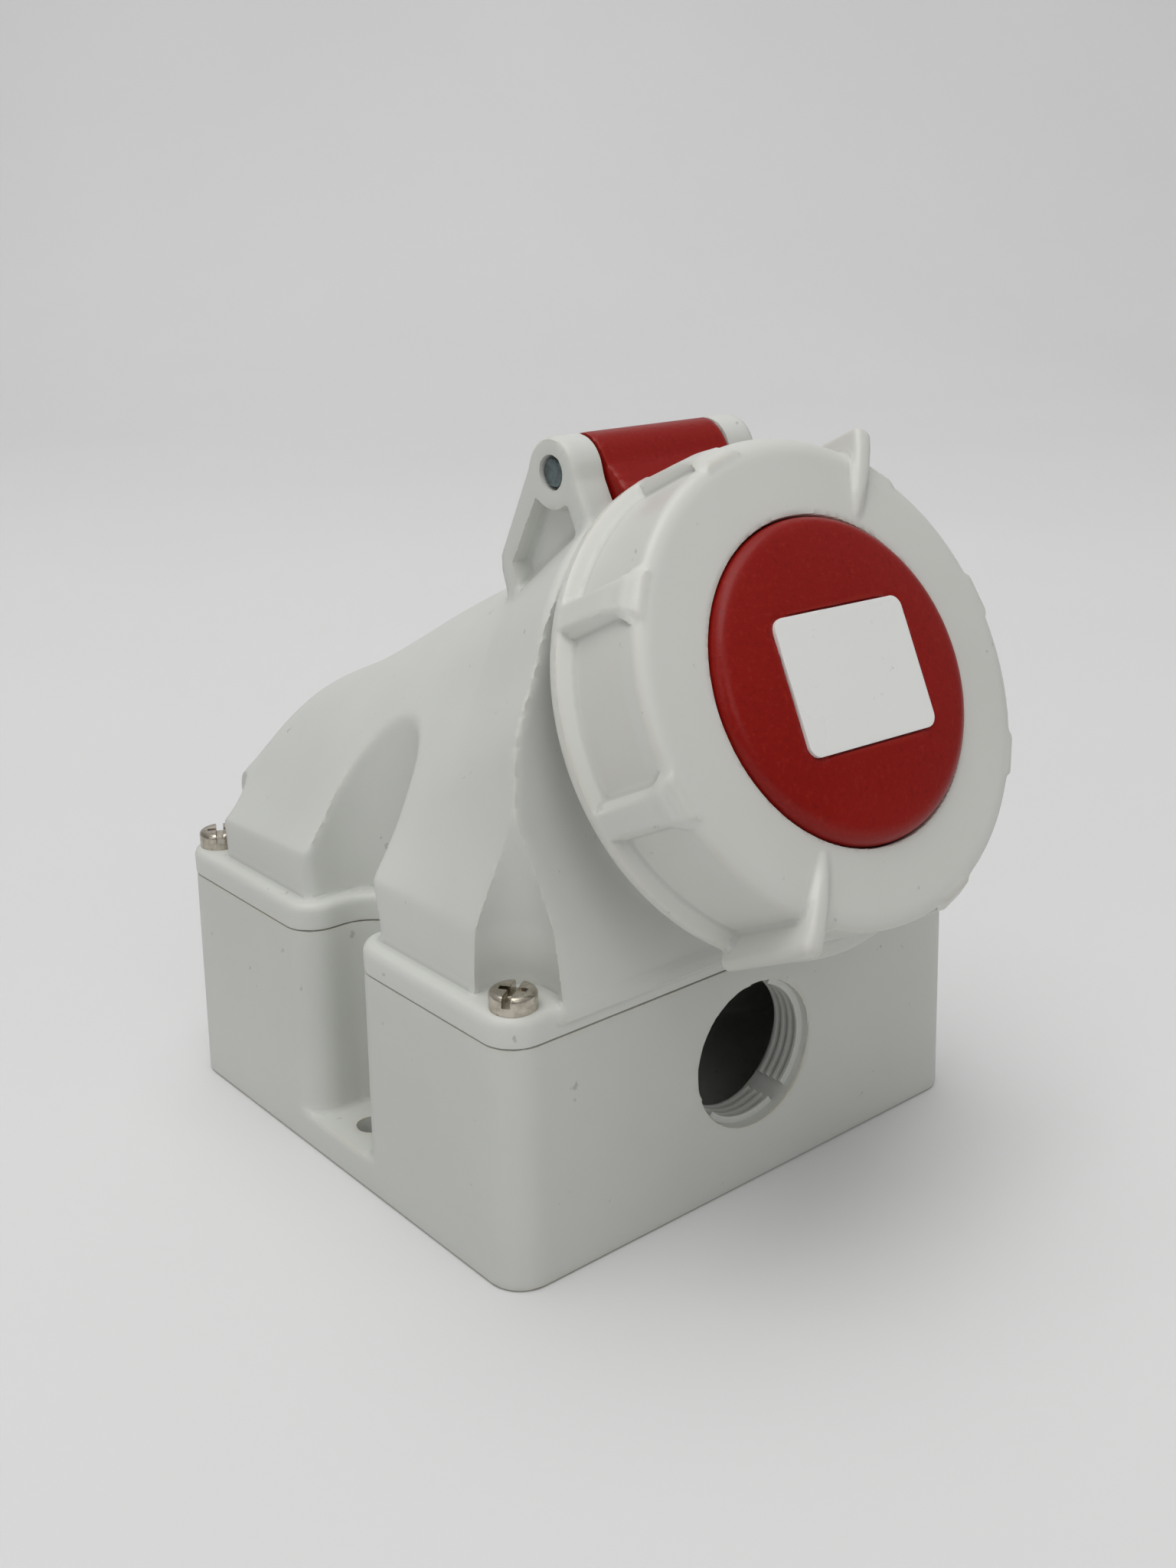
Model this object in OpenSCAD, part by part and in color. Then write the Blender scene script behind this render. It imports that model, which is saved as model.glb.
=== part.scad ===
// Surface-mounted angled industrial socket outlet, three phases and earth,
// with a hinged red lid and a bayonet locking ring. It lies on its mounting face.
// Origin: centre of the mounting face. +Z points away from the wall, the cable
// entry is in the front wall (-Y), the socket looks out to the front and up.

/* [Enclosure] */
// Width of the base at the mounting face
base_w = 104.6; // [104:0.2:106]
// Length of the base at the mounting face
base_l = 103; // [102:0.2:104]
// Height of the base up to the joint with the cover
base_h = 41.6; // [41:0.2:42]
// Wall thickness of base and cover
wall = 3; // [2.6:0.1:3.2]
// Height of the cover's ledge above the joint
ledge_h = 4.9; // [4.4:0.1:5.4]
// Distance between the two wall screw holes
mount_spacing = 90.4; // [90:0.2:91]
// Radius of the wall screw holes
mount_r = 2.7; // [2.5:0.1:3]

/* [Cable entry] */
// Inside radius of the M25 entry (fine thread left off)
entry_r = 12.1; // [11.8:0.1:12.2]
// Height of the entry's centre above the mounting face
entry_z = 24.1; // [23:0.1:25]

/* [Socket] */
// Angle between the wall's normal and the socket's axis
tilt = 64; // [63:0.5:65]
// Distance of the lid disc's rim in front of the base centre
face_y = 68.2; // [68:0.1:68.6]
// Height of the lid disc's centre
face_z = 93.2; // [93:0.1:93.6]
// Outside radius of the socket's neck
neck_r = 31; // [30.6:0.1:31.2]
// Inside radius of the socket's neck
shroud_r = 26.8; // [26.5:0.1:27]
// Radius of the contact carrier
carrier_r = 21.3; // [21:0.1:21.6]
// Radius of the circle that the contacts lie on
contact_circle = 12.6; // [12.4:0.1:12.8]

/* [Lid and ring] */
// Outside radius of the ring's rear lip
ring_r = 39.9; // [39.6:0.1:40]
// Radius of the red disc in the ring's front
disc_r = 25.4; // [25.2:0.1:25.6]
// Distance of the hinge pin behind the base centre (negative is in front)
pin_y = -24; // [-24.2:0.1:-23.8]
// Height of the hinge pin
pin_z = 120.7; // [120.5:0.1:121]
// Half the width of the red hinge barrel
barrel_hw = 13.1; // [13:0.1:13.2]
// Outer face of the hinge ears, from the middle
ear_x = 19.6; // [19.4:0.1:19.8]

/* [Hidden] */
$fn = 64;
eps = 0.01;
taper = 0.02;                 // inward lean of the outer walls per mm of height
hw = base_w / 2;
hl = base_l / 2;
waist_y = -0.4;               // centre of the waist recesses
waist_x = 43.5;               // centre of their round end
waist_r = 7.5;
pad_h = 6.3;                  // height of the wall screw pads
ledge_z = base_h + ledge_h;   // top of the cover's ledge
side_x = 48.4;                // cover's raised wall, from the middle
rear_y = 47.6;
front_y = -50.4;
scr_x = 46.2;                 // cover screws
scr_y = 45.6;
neck_s = -9.5;                // front face of the neck along the socket's axis
contact_angles = [180, 90, 0, 270];   // l1, l2, l3, earth seen from the front

// ---- frames -------------------------------------------------------------
// local frame of the socket: z along its axis, zero at the lid disc's rim
module socket() { translate([0, -face_y, face_z]) rotate([tilt, 0, 0]) children(); }
module both() { children(); mirror([1, 0, 0]) children(); }
module corners() { for (x = [-1, 1], y = [-1, 1]) translate([x * scr_x, y * scr_y, 0]) children(); }

module tube(r, ri, a, b) {
    translate([0, 0, a]) difference() {
        cylinder(r = r, h = b - a);
        translate([0, 0, -1]) cylinder(r = ri, h = b - a + 2);
    }
}
module disc(r, a, b) { translate([0, 0, a]) cylinder(r = r, h = b - a); }

// rounded rectangle, half sizes a and b, corner radius r
module plate2(a, b, r) {
    union() {
        square([2 * a - 2 * r, 2 * b], center = true);
        square([2 * a, 2 * b - 2 * r], center = true);
        for (x = [-1, 1], y = [-1, 1]) translate([x * (a - r), y * (b - r)]) circle(r = r);
    }
}
// outline of one waist recess on the left, d grows it inwards
module waist2(d) {
    translate([0, waist_y]) union() {
        translate([-waist_x, 0]) circle(r = waist_r + d);
        translate([-60, -waist_r - d]) square([60 - waist_x, 2 * (waist_r + d)]);
        difference() {
            translate([-60, -waist_r - 5.9]) square([60 - 46.1, 2 * (waist_r + 5.9)]);
            for (y = [-1, 1]) translate([-46.1, y * (waist_r + 5.9)]) circle(r = max(0.4, 5.9 - d));
            for (y = [-1, 1]) translate([-46.1, y * (waist_r + 5.9)])
                translate([-20, y > 0 ? 0 : -20]) square([20, 20]);
        }
    }
}
module waists2(d) { waist2(d); mirror([1, 0]) waist2(d); }

// ---- base ---------------------------------------------------------------
module base_solid(floor_z) {
    difference() {
        union() {
            difference() {
                hull() {
                    linear_extrude(0.01) plate2(hw, hl, 6.2);
                    translate([0, 0, base_h - 0.01]) linear_extrude(0.01)
                        plate2(hw - base_h * taper, hl - base_h * taper, 6);
                }
                // inside, open to the cover
                translate([0, 0, floor_z]) linear_extrude(base_h)
                    difference() {
                        plate2(hw - 0.8 - wall, hl - 0.8 - wall, 3);
                        waists2(wall);
                    }
                // waist recesses stand on the wall screw pads
                translate([0, 0, pad_h]) linear_extrude(base_h) waists2(0);
            }
            // boss round the cable entry
            intersection() {
                translate([0, -hl + 0.5, entry_z]) rotate([-90, 0, 0]) cylinder(r = 15.5, h = 8.5);
                translate([0, 0, base_h / 2]) cube([60, 200, base_h - 6], center = true);
            }
            // posts for the cover screws
            corners() translate([0, 0, wall - 1]) cylinder(r = 4.2, h = base_h - wall - 0.9);
        }
        translate([0, -hl - 1, entry_z]) rotate([-90, 0, 0]) cylinder(r = entry_r, h = 12);
        translate([0, -hl - 1, entry_z]) rotate([-90, 0, 0]) cylinder(r = 12.9, h = 2.4);
        // wall screw holes
        for (x = [-1, 1]) translate([x * mount_spacing / 2, waist_y - 0.6, -1]) cylinder(r = mount_r, h = pad_h + 2);
        // pockets for the threaded inserts
        corners() translate([0, 0, base_h - 13]) cylinder(r = 2.9, h = 14);
    }
}
// the base in simple stretches: floor, straight walls, side walls with the waists
module base_part(a, b) color([0.73, 0.73, 0.69]) intersection() {
    base_solid(a[2] < 0 ? wall + 2 : wall - 1);
    translate(a) cube(b - a);
}
module base_box() base_part([-60, -60, -1], [60, 60, wall]);
module base_front() base_part([-29, -60, wall], [29, -20, 60]);
module base_rear() base_part([-29, 20, wall], [29, 60, 60]);
module base_left() base_part([-60, -60, wall], [-29, 60, 60]);
module base_right() base_part([29, -60, wall], [60, 60, 60]);
module screw_inserts() color([0.75, 0.6, 0.3]) corners() difference() {
    translate([0, 0, base_h - 13]) cylinder(r = 2.88, h = 10);
    translate([0, 0, base_h - 14]) cylinder(r = 2.05, h = 12);
}
// rubber cord between base and cover
module cover_gasket() color([0.15, 0.15, 0.16])
    translate([0, 0, base_h - 1.6]) linear_extrude(1.6) difference() {
        plate2(hw - 0.8 - wall - 0.1, hl - 0.8 - wall - 0.1, 2.9);
        waists2(wall + 0.1);
        difference() {
            plate2(hw - 0.8 - wall - 1.6, hl - 0.8 - wall - 1.6, 2);
            waists2(wall + 1.7);
            for (x = [-1, 1], y = [-1, 1]) translate([x * scr_x, y * scr_y]) circle(r = 4.3);
        }
        for (x = [-1, 1], y = [-1, 1]) translate([x * scr_x, y * scr_y]) circle(r = 2.4);
    }

// ---- cover --------------------------------------------------------------
// half of the housing's section at y, t inside the skin: wall foot, wall top, shoulder, roof
SECTIONS = [
    [-50.4, [48.4, 55], [39.2, 88], [20, 96]],
    [-11, [48.4, 55.2], [36.5, 73], [20, 80]],
    [40, [48.4, 53.8], [31, 71], [14, 77.5]],
    [47.6, [48.4, 53], [37, 60], [16, 64]]];
function sec_pts(i, t) = let(q = SECTIONS[i], y = max(-50.4 + t, min(rear_y - t, q[0])))
    [for (m = [-1, 1]) each concat([[m * (side_x - t), y, 30]],
        [for (k = [1:3]) [m * (q[k][0] - t), y, q[k][1] - (k == 1 ? 0.5 : 1.1) * t]])];
// one stretch of the leaning body between two sections
module stretch(i, t) {
    p = concat(sec_pts(i, t), sec_pts(i + 1, t));
    hull() polyhedron(points = p, faces = [[for (k = [0:len(p) - 1]) k]]);
}
// leaning body with the round back of the socket's neck running through it
module housing(t) {
    stretch(0, t);
    stretch(1, t);
    stretch(2, t);
    intersection() {
        socket() union() {
            disc(35.4 - t, -140, -20);
            translate([0, 0, -46]) cylinder(r1 = 35.4 - t, r2 = 39.3 - t, h = 22);
            disc(39.3 - t, -24.01, -20);
        }
        // rear slope of the roof
        translate([0, rear_y - t, 62.5 - t]) rotate([-42, 0, 0]) translate([-100, -200, -200]) cube([200, 400, 200]);
        translate([-100, -100, 38]) cube([200, 100 + rear_y - t, 150]);
    }
}
// everything behind the cover's leaning front face
module front_limit(t) {
    translate([0, front_y + t, 46]) rotate([-11, 0, 0]) translate([-100, 0, -100]) cube([200, 300, 300]);
}
module rear_of(s) { socket() translate([0, 0, -300 + s]) cube([300, 300, 600], center = true); }
module ear() {
    difference() {
        translate([barrel_hw + 0.3, 0, 0]) rotate([90, 0, 90]) linear_extrude(ear_x - barrel_hw - 0.3) union() {
            translate([pin_y, pin_z]) circle(r = 5.5);
            polygon([[-19, 123], [-9.6, 106.2], [-12, 96], [-35, 100], [-33.6, 111], [-28.9, 123.2], [-24, 126.1]]);
        }
        // pocket in the outer face
        translate([ear_x - 1.8, 0, 0]) rotate([90, 0, 90]) linear_extrude(4) difference() {
            polygon([[-18.6, 116], [-12.2, 105.6], [-13.6, 98], [-32, 102], [-30.6, 111], [-27.6, 116]]);
            translate([pin_y, pin_z]) circle(r = 5.8);
        }
    }
}
// flange that follows the base, open to it inside
module cover_flange() color([0.75, 0.75, 0.71]) translate([0, 0, base_h]) difference() {
    linear_extrude(ledge_h) difference() {
        plate2(hw - base_h * taper, hl - base_h * taper, 6);
        waists2(0);
    }
    translate([0, 0, -1]) linear_extrude(ledge_h + 2) difference() {
        translate([wall - side_x, front_y + 3.2]) square([2 * (side_x - wall), rear_y - wall - front_y - 3.2]);
        waists2(wall + 3);
        corners2() circle(r = 7.2);
    }
    corners() translate([0, 0, -1]) cylinder(r = 2.2, h = ledge_h + 2);
}
module corners2() { for (x = [-1, 1], y = [-1, 1]) translate([x * scr_x, y * scr_y]) children(); }
// raised housing
module top_cover() color([0.75, 0.75, 0.71]) difference() {
    intersection() {
        housing(0);
        front_limit(0);
        rear_of(-22);
        translate([-60, -70, ledge_z]) cube([120, 130, 100]);
    }
    translate([0, 0, 30]) linear_extrude(120) waists2(3);
    // inside
    intersection() {
        difference() {
            housing(wall);
            translate([0, 0, 30]) linear_extrude(120) waists2(3 + wall);
            socket() disc(neck_r + 0.001, -50, 0);
            // walls round the slot for the lid's arm
            socket() translate([-16.5, 25, -34]) cube([33, 40, 34]);
            corners() translate([0, 0, ledge_z - 6]) cylinder(r1 = 10.97, r2 = 5.8, h = 32);
            corners() translate([0, 0, ledge_z + 25.9]) cylinder(r = 5.8, h = 4);
        }
        front_limit(wall);
        rear_of(-22 - wall);
    }
    // seat of the neck
    socket() disc(neck_r, -60, 0);
    // slot for the lid's arm, with room for the barrel
    translate([-barrel_hw - 0.3, 0, 0]) rotate([90, 0, 90]) linear_extrude(2 * barrel_hw + 0.6)
        polygon([yz(-10, 32.9), yz(-10, 52), yz(-33, 52), yz(-32.4, 42.3), yz(-27.6, 38.1), yz(-25.9, 32.9)]);
    translate([-barrel_hw - 0.3, pin_y, pin_z]) rotate([0, 90, 0]) cylinder(r = 6, h = 2 * barrel_hw + 0.6);
    // seats of the cover screws, cut into the corners
    corners() translate([0, 0, ledge_z - 2.6]) cylinder(r1 = 7.82, r2 = 3.2, h = 28.6);
}
// two ears for the hinge pin, standing on the round roof
module hinge_ears() color([0.75, 0.75, 0.71]) difference() {
    both() ear();
    socket() union() {
        disc(35.4, -80, -46);
        translate([0, 0, -46]) cylinder(r1 = 35.4, r2 = 39.3, h = 22);
        disc(39.3, -24, -22);
        disc(39.3, -22.01, 0);
    }
    // hinge pin with the recesses for its head and nut
    translate([-ear_x - 1, pin_y, pin_z]) rotate([0, 90, 0]) cylinder(r = 1.5, h = 2 * ear_x + 2);
    translate([-ear_x - 1, pin_y, pin_z]) rotate([0, 90, 0]) cylinder(r = 2.7, h = 3.4);
    translate([ear_x - 2.4, pin_y, pin_z]) rotate([0, 90, 0]) cylinder(r = 2.7, h = 3.4);
}
// neck that the plug goes into, wider at its mouth
module neck_tube() color([0.75, 0.75, 0.71]) socket() difference() {
    disc(neck_r, -50, neck_s);
    disc(shroud_r, -60, 0);
    disc(shroud_r + 0.7, neck_s - 4, 0);
    for (a = [45, 225]) rotate([0, 0, a]) translate([28.9, 0, -51]) cylinder(r = 1.25, h = 9);
}
module neck_lugs() color([0.75, 0.75, 0.71]) socket() for (a = [30, 150, 270]) rotate([0, 0, a]) intersection() {
    tube(35, neck_r, -17.5, -14.5);
    translate([0, -4.6, -20]) cube([50, 9.2, 10]);
}
module cover_screws() color([0.72, 0.68, 0.6]) corners() difference() {
    union() {
        translate([0, 0, ledge_z]) cylinder(r = 3.75, h = 2.3);
        translate([0, 0, ledge_z + 2.3]) cylinder(r1 = 3.75, r2 = 2.9, h = 0.7);
        translate([0, 0, base_h - 11]) cylinder(r = 2, h = 11 + ledge_h + 0.1);
    }
    translate([0, 0, ledge_z + 1.4]) rotate([0, 0, 35]) translate([-5, -0.65, 0]) cube([10, 1.3, 3]);
    translate([0, 0, ledge_z + 1.1]) rotate([0, 0, 35]) for (a = [0, 90]) rotate([0, 0, a])
        translate([-2.1, -0.5, 0]) cube([4.2, 1, 3]);
}
// ---- contacts -----------------------------------------------------------
module at_contact(i) { rotate([0, 0, contact_angles[i]]) translate([contact_circle, 0, 0]) children(); }
module carrier_seal() color([0.12, 0.12, 0.13]) socket() difference() {
    tube(30.8, 26.9, -50.9, -50);
    for (a = [45, 225]) rotate([0, 0, a]) translate([28.9, 0, -52]) cylinder(r = 1.4, h = 4);
}
module contact_holes(a, b) {
    for (i = [0:3]) at_contact(i) translate([0, 0, a]) cylinder(r = i == 3 ? 5.1 : 4.1, h = b - a);
}
// four insulating segments, one round each contact
module contact_carrier() color([0.2, 0.2, 0.21]) carrier_segments([1, 3]);
module carrier_sides() color([0.2, 0.2, 0.21]) difference() {
    carrier_segments([0, 2]);
    // hair-thin slits that part each segment into six blocks round its bore
    socket() for (i = [0, 2]) at_contact(i) for (a = [30, 90, 150]) rotate([0, 0, a])
        translate([-30, -0.05, -60]) cube([60, 0.1, 60]);
}
module carrier_segments(which) socket() for (i = which) rotate([0, 0, contact_angles[i]]) difference() {
    intersection() {
        union() {
            disc(carrier_r, -50.9, -14);
            disc(25.8, -50.9, -48);
            // key at six o'clock
            if (i == 3) translate([carrier_r - 1, -2.4, -48.5]) cube([3.2, 4.8, 30]);
        }
        rotate([0, 0, -45]) translate([0.05, 0.05, -60]) cube([40, 40, 60]);
    }
    translate([contact_circle, 0, -52]) cylinder(r = i == 3 ? 5.1 : 4.1, h = 36.5);
    translate([contact_circle, 0, -20]) cylinder(r = i == 3 ? 3.9 : 2.9, h = 10);
}
// plate that clamps the carrier to the back of the neck
module carrier_flange() color([0.2, 0.2, 0.21]) socket() difference() {
    disc(30.8, -53.9, -50.9);
    contact_holes(-55, -50);
    for (a = [45, 225]) rotate([0, 0, a]) translate([28.9, 0, -60]) cylinder(r = 1.7, h = 20);
}
module carrier_screws() color([0.7, 0.7, 0.68]) socket() for (a = [45, 225]) rotate([0, 0, a]) translate([28.9, 0, 0]) difference() {
    union() {
        translate([0, 0, -56.1]) cylinder(r = 2.8, h = 2.2);
        translate([0, 0, -54.5]) cylinder(r = 1.24, h = 12);
    }
    translate([-3, -0.4, -57]) cube([6, 0.8, 1.8]);
}
// bored contact sleeve with a clamp screw hole and a wire hole at its rear
module sleeve(i, ro, ri) color([0.78, 0.66, 0.35]) socket() at_contact(i) difference() {
    translate([0, 0, -62.5]) cylinder(r = ro, h = 46.9);
    translate([0, 0, -40]) cylinder(r = ri, h = 30);
    translate([0, 0, -64]) cylinder(r = 1.9, h = 14);
    translate([0, 0, -58.9]) rotate([0, 90, 0]) cylinder(r = 1.5, h = 12);
}
module sleeve_l1() sleeve(0, 4.05, 2.55);
module sleeve_l2() sleeve(1, 4.05, 2.55);
module sleeve_l3() sleeve(2, 4.05, 2.55);
module sleeve_earth() sleeve(3, 5.05, 3.55);
module terminal_screws() color([0.7, 0.68, 0.6]) socket() for (i = [0:3]) at_contact(i)
    translate([0, 0, -58.9]) rotate([0, 90, 0]) difference() {
        union() {
            translate([0, 0, 1.95]) cylinder(r = 1.48, h = 5);
            translate([0, 0, i == 3 ? 5.3 : 4.3]) cylinder(r = 2.2, h = 2);
        }
        translate([-3, -0.35, i == 3 ? 6.4 : 5.4]) cube([6, 0.7, 2]);
    }

// ---- hinge --------------------------------------------------------------
module hinge_pin() color([0.45, 0.52, 0.56]) translate([0, pin_y, pin_z]) rotate([0, 90, 0]) union() {
    translate([0, 0, -ear_x + 0.5]) cylinder(r = 2.6, h = 1.9, $fn = 6);
    translate([0, 0, -ear_x + 2.3]) cylinder(r = 1.47, h = 2 * ear_x - 2.8);
}
module hinge_nut() color([0.45, 0.52, 0.56]) translate([ear_x - 2.3, pin_y, pin_z]) rotate([0, 90, 0]) difference() {
    cylinder(r = 2.6, h = 1.8, $fn = 6);
    translate([0, 0, -1]) cylinder(r = 1.48, h = 4);
}

// ---- lid ----------------------------------------------------------------
module lid() color([0.62, 0.08, 0.07]) {
    difference() {
        union() {
            // front disc with a low dome
            socket() rotate_extrude() polygon([[0, -8], [0, 2.6], [10, 2.45], [16, 2.1], [20, 1.6], [23, 1], [24.7, 0.45],
                [disc_r, -0.1], [24.9, -0.3], [24.3, -0.4], [24.3, -8]]);
            // backing plate behind the ring's front wall
            socket() disc(34.2, -7.2, -4.4);
            socket() tube(34.2, 32.8, -9.2, -7);
            socket() disc(25.6, -8.6, -7);
        }
        // hollow back of the disc
        socket() disc(21, -9, -0.4);
        // shallow recess for the label
        socket() rotate([0, 0, label_turn]) translate([0, 0, 1.75]) linear_extrude(3) plate2(label_w / 2 + 0.25, label_h / 2 + 0.25, 2.2);
    }
}
label_turn = -1;
label_w = 27;
label_h = 20.7;
// arm over the neck to the hinge barrel
module lid_arm() color([0.62, 0.08, 0.07]) difference() {
    union() {
        intersection() {
            translate([-barrel_hw, 0, 0]) rotate([90, 0, 90]) linear_extrude(2 * barrel_hw) arm2();
            // round top under the ring
            socket() union() {
                disc(36.2, -30, 0);
                translate([-30, 0, -60]) cube([60, 60, 60 - 19.35]);
            }
        }
        translate([-barrel_hw, pin_y, pin_z]) rotate([0, 90, 0]) cylinder(r = 5.5, h = 2 * barrel_hw);
    }
    translate([-30, pin_y, pin_z]) rotate([0, 90, 0]) cylinder(r = 1.52, h = 60);
    socket() disc(34.2, -12, 0);
}
// section of the arm in the lid's middle plane, given along and across the axis
function yz(s, v) = [-face_y - s * sin(tilt) + v * cos(tilt), face_z + s * cos(tilt) + v * sin(tilt)];
module arm2() polygon([yz(-6.7, 30), yz(-6.7, 35.6), yz(-19.5, 35.6), yz(-21.2, 37.8), yz(-21.6, 47.4),
    yz(-25.4, 49.2), yz(-31.2, 46.5), yz(-31.8, 43), yz(-27, 38.4), yz(-25.4, 33.4), yz(-9.2, 33.4), yz(-9.2, 30)]);
module lid_seal() color([0.12, 0.12, 0.13]) socket() tube(32.6, 26, -9.35, -7.2);
module label_plate() color([0.9, 0.9, 0.88]) socket() rotate([0, 0, label_turn])
    translate([0, 0, 1.75]) linear_extrude(0.65) plate2(label_w / 2, label_h / 2, 2);

// ---- bayonet ring -------------------------------------------------------
rib_angles = [12, 54, 107, 150, 192, 287, 330];
module ring_color() color([0.78, 0.78, 0.74]) socket() children();
// rear edge cut back where the hinge arm leaves
module arm_side_cut() {
    translate([0, 0, -21]) linear_extrude(8) polygon([[0, 0], [70 * cos(42), 70 * sin(42)],
        [90 * cos(73), 90 * sin(73)], [70 * cos(104), 70 * sin(104)]]);
}
module fin(pts) { for (a = [60, 240]) rotate([0, 0, a]) rotate([90, 0, 0]) translate([0, 0, -2.6]) linear_extrude(5.2) polygon(pts); }
module bayonet_ring() ring_color() difference() {
    union() {
        rotate_extrude() polygon([[36.6, -2.514], [37.8, -3.8], [38.2, -5.2],
            [38.3, -17.9], [ring_r, -17.95], [ring_r, -19], [36.6, -19]]);
        for (a = rib_angles) rotate([0, 0, a]) translate([37.2, -2.2, -18.6]) cube([3, 4.4, 14.6]);
        // outer part of the two grip fins
        fin([[36.75, 0.35], [41.6, -0.6], [42.6, -2.4], [42.7, -18.8], [37.2, -18.7], [37, -4], [36.75, -3.5]]);
    }
    arm_side_cut();
}
module ring_front() ring_color() union() {
    rotate_extrude() polygon([[24.6, -0.45], [30, -0.7], [34, -1.3], [36.4, -2.3], [36.6, -2.514], [36.6, -6.4], [35, -4.2], [24.6, -4.2]]);
    // inner part of the two grip fins
    fin([[27, -1], [27.2, 0], [36, 0.4], [36.4, 0.36], [36.4, -3], [34, -2]]);
}
// bayonet lugs inside the rear edge
module ring_lugs() ring_color() for (a = [0, 120, 240]) rotate([0, 0, a]) intersection() {
    tube(36.6, 32.6, -18.9, -17.8);
    translate([0, -4.4, -25]) cube([50, 8.8, 10]);
}

base_box();
base_front();
base_rear();
base_left();
base_right();
screw_inserts();
cover_gasket();
cover_flange();
top_cover();
hinge_ears();
neck_tube();
neck_lugs();
cover_screws();
carrier_seal();
contact_carrier();
carrier_sides();
carrier_flange();
carrier_screws();
sleeve_l1();
sleeve_l2();
sleeve_l3();
sleeve_earth();
terminal_screws();
hinge_pin();
hinge_nut();
lid();
lid_arm();
lid_seal();
label_plate();
bayonet_ring();
ring_front();
ring_lugs();
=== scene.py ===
import math

import bpy
import numpy as np
from mathutils import Matrix, Vector


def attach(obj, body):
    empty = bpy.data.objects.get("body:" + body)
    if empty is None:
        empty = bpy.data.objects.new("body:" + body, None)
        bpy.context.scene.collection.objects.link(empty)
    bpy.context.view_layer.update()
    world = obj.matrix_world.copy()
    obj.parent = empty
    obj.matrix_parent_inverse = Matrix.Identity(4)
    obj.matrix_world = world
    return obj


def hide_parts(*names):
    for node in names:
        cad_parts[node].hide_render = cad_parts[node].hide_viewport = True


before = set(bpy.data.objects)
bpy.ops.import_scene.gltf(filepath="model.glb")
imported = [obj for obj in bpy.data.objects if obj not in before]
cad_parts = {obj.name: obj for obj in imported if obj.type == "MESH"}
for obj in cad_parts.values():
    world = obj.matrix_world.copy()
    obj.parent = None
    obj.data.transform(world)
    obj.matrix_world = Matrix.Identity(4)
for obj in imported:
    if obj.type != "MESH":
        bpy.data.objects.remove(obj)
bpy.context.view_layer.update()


# ---------------------------------------------------------------------------
# camera: the photograph's viewing angle
# ---------------------------------------------------------------------------
AZ, EL, ROLL = math.radians(-39.4829), math.radians(19.1555), math.radians(-1.0316)
back = Vector((math.sin(AZ) * math.cos(EL), -math.cos(AZ) * math.cos(EL), math.sin(EL)))
right = Vector((0, 0, 1)).cross(back).normalized()
up = back.cross(right)
r1 = math.cos(ROLL) * right + math.sin(ROLL) * up
u1 = -math.sin(ROLL) * right + math.cos(ROLL) * up
cam_data = bpy.data.cameras.new("camera")
cam_data.sensor_fit = "VERTICAL"
cam_data.sensor_height = 36.0
cam_data.lens = 38.4710
cam_data.clip_start = 0.01
cam_data.clip_end = 20.0
cam = bpy.data.objects.new("camera", cam_data)
bpy.context.scene.collection.objects.link(cam)
cam.matrix_world = Matrix((
    (r1.x, u1.x, back.x, -0.180957),
    (r1.y, u1.y, back.y, -0.227649),
    (r1.z, u1.z, back.z, 0.160108),
    (0, 0, 0, 1)))
bpy.context.scene.camera = cam

# ---------------------------------------------------------------------------
# distance fields: all in millimetres, negative inside
# ---------------------------------------------------------------------------
def smax(a, b, k):
    h = np.maximum(k - np.abs(a - b), 0) / k
    return np.maximum(a, b) + h * h * k * 0.25


def smin(a, b, k):
    return -smax(-a, -b, k)


def rmax(a, b, r):
    """Common part of two shapes, with its edge rounded to radius r."""
    u = np.maximum(a + r, 0)
    v = np.maximum(b + r, 0)
    return np.minimum(np.maximum(a, b), -r) + np.sqrt(u * u + v * v)


def rmin(a, b, r):
    """Both shapes together, with a fillet of radius r between them."""
    return -rmax(-a, -b, r)


def rcut(a, b, r):
    return rmax(a, -b, r)


def rrect(x, y, a, b, r):
    qx = np.abs(x) - a + r
    qy = np.abs(y) - b + r
    return np.minimum(np.maximum(qx, qy), 0) + np.hypot(np.maximum(qx, 0), np.maximum(qy, 0)) - r


def poly_sdf(px, py, pts):
    d = np.full(px.shape, 1e9)
    sign = np.ones(px.shape)
    n = len(pts)
    for i in range(n):
        ax, ay = pts[i]
        bx, by = pts[i - 1]
        ex, ey = bx - ax, by - ay
        wx, wy = px - ax, py - ay
        t = np.clip((wx * ex + wy * ey) / (ex * ex + ey * ey), 0, 1)
        d = np.minimum(d, (wx - ex * t) ** 2 + (wy - ey * t) ** 2)
        c1 = py >= ay
        c2 = py < by
        c3 = ex * wy > ey * wx
        flip = (c1 & c2 & c3) | (~c1 & ~c2 & ~c3)
        sign = np.where(flip, -sign, sign)
    return sign * np.sqrt(d)


def only(mask, value, new):
    """Value with the places in mask worked out anew: keeps costly shapes local."""
    if mask.any():
        value = value.copy()
        value[mask] = new(mask)
    return value


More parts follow.
